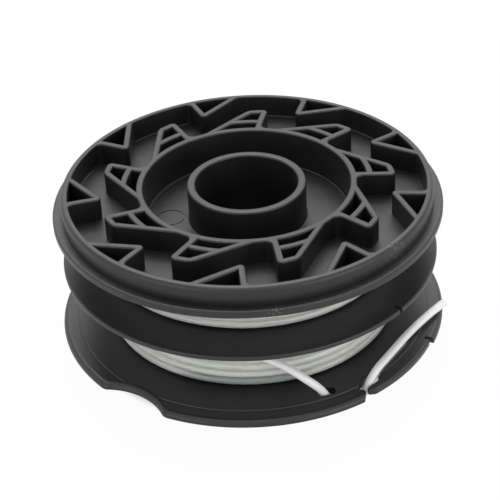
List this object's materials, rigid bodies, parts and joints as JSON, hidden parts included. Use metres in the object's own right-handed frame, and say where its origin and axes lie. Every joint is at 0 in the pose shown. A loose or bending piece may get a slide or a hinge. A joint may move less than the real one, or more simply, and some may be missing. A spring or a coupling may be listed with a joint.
{
  "type": "trimmer line spool",
  "caption": "Moulded spool for a grass trimmer head, with a hollow-toothed ratchet cup, a spring pocket, a through bore and trimmer line wound between its flanges.",
  "frame": {"origin": "on the bore's axis, at the plane that the foot stands on", "axes": "+Z along the bore towards the toothed cup, +X along the face of one ratchet fin"},
  "size_m": [0.0814, 0.0812, 0.0333],
  "materials": {
    "moulding": "satin",
    "line": "semi-gloss"
  },
  "bodies": {
    "root": {"spool_body": "moulding", "upper_line_winding": "line", "lower_line_winding": "line", "line_end": "line"}
  },
  "joints": []
}
